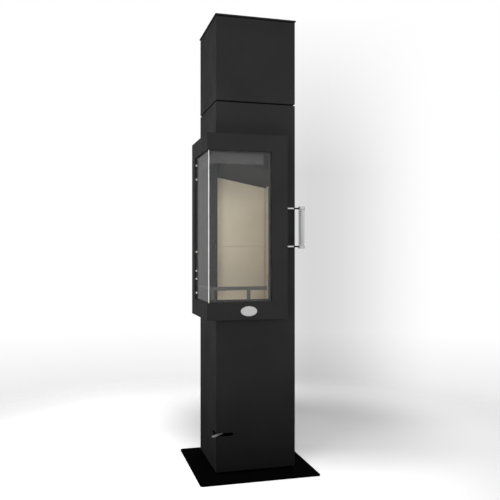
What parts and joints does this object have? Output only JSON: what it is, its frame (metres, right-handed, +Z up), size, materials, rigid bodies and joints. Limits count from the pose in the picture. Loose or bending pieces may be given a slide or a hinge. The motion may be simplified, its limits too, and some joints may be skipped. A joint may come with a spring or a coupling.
{
  "type": "heat storage wood stove",
  "caption": "Tall square steel wood stove with a corner-glazed door head, side handle, corner air lever and a heat storage box on top, on a floor plate.",
  "frame": {"origin": "middle of the floor plate's underside", "axes": "+Z up, +X to the right and -Y towards the user who faces the door"},
  "size_m": [0.53, 0.53, 2.006],
  "materials": {
    "black_paint": "matte black stove paint",
    "door_paint": "matte black stove paint on the door head",
    "plate_paint": "satin black plate",
    "plinth_paint": "matte black in the shadow joints",
    "inner_steel": "heat darkened steel",
    "duct_sheet": "bare zinc coated sheet",
    "cast_black": "cast iron, blackened",
    "vermiculite": "pressed vermiculite board, beige and grainy",
    "insulation": "fibrous insulation board",
    "storage_stone": "dense fired storage stone, matte",
    "front_pane": "clear ceramic glass",
    "side_pane": "clear ceramic glass with a grey sheen",
    "joint_trim": "bright satin strip",
    "seal_rope": "woven glass fibre rope, dark",
    "retainer_paint": "dark steel strip",
    "bright_clip": "bright bent spring steel",
    "wash_steel": "heat dulled stainless sheet",
    "guard_steel": "dark steel, sooted",
    "oval_satin": "satin plate, bare",
    "zinc_steel": "zinc plated steel",
    "bright_lever": "bright brushed steel",
    "grip_metal": "satin steel",
    "arm_metal": "bright satin steel",
    "ferrule_black": "black heat proof sleeve",
    "coil_chrome": "polished chrome wire"
  },
  "bodies": {
    "stove": {"floor_plate": "plate_paint", "plinth_frame": "plinth_paint", "levelling_feet": "zinc_steel", "base_panel": "inner_steel", "lower_posts": "inner_steel", "upper_posts": "inner_steel", "firebox_cradle": "inner_steel", "top_deck": "inner_steel", "joint_frame": "plinth_paint", "column_casing": "black_paint", "storage_casing": "black_paint", "rear_panel": "black_paint", "storage_rear_panel": "black_paint", "rear_screws": "zinc_steel", "lid_frame": "plinth_paint", "lid": "black_paint", "storage_floor": "inner_steel", "storage_stones": "storage_stone", "heat_riser": "cast_black", "smoke_box": "inner_steel", "flue_collar": "cast_black", "air_box": "duct_sheet", "supply_duct": "duct_sheet", "air_plenum": "duct_sheet", "plenum_cover": "duct_sheet", "air_post": "inner_steel", "firebox_shell": "inner_steel", "floor_tiles": "vermiculite", "back_lining": "vermiculite", "side_lining": "vermiculite", "insulation_board": "insulation", "baffle_plate": "vermiculite", "ash_well": "inner_steel", "hinge_brackets": "black_paint", "hinge_pins": "zinc_steel", "latch_keepers": "zinc_steel"},
    "door": {"door_frame": "door_paint", "front_glass": "front_pane", "side_glass": "side_pane", "glass_joint_trim": "joint_trim", "glass_seal": "seal_rope", "glass_retainers": "retainer_paint", "glass_clips": "bright_clip", "door_seal": "seal_rope", "air_wash_plate": "wash_steel", "log_guard": "guard_steel", "oval_plate": "oval_satin", "door_hinge_eyes": "zinc_steel", "latch_bearings": "zinc_steel"},
    "handle": {"latch_shaft": "zinc_steel", "latch_hooks": "zinc_steel", "handle_arms": "arm_metal", "handle_ferrules": "ferrule_black", "grip_core": "grip_metal", "grip_coil": "coil_chrome"},
    "air_control": {"valve_spindle": "zinc_steel", "air_shutter": "duct_sheet", "air_lever": "bright_lever"},
    "grate": {"grate": "cast_black"},
    "ash_pan": {"ash_pan": "duct_sheet"}
  },
  "joints": [
    {"name": "door_swing", "type": "hinge", "parent": "stove", "child": "door", "pos_m": [-0.182, 0.167, 1.08], "axis": [0, 0, -1], "range_deg": [0, 90]},
    {"name": "handle_turn", "type": "hinge", "parent": "door", "child": "handle", "pos_m": [0.093, -0.184, 1.08], "axis": [0, 0, 1], "range_deg": [0, 12]},
    {"name": "air_lever_turn", "type": "hinge", "parent": "stove", "child": "air_control", "pos_m": [-0.075, -0.05, 0.1775], "axis": [0, 0, 1], "range_deg": [-25, 25]},
    {"name": "grate_lift", "type": "slide", "parent": "stove", "child": "grate", "axis": [0, 0, 1], "range_m": [0, 0.26]},
    {"name": "ash_pan_lift", "type": "slide", "parent": "stove", "child": "ash_pan", "axis": [0, 0, 1], "range_m": [0, 0.13]}
  ],
  "couplings": [
    {"joint": "ash_pan_lift", "follows": "grate_lift", "ratio": 0.5}
  ]
}
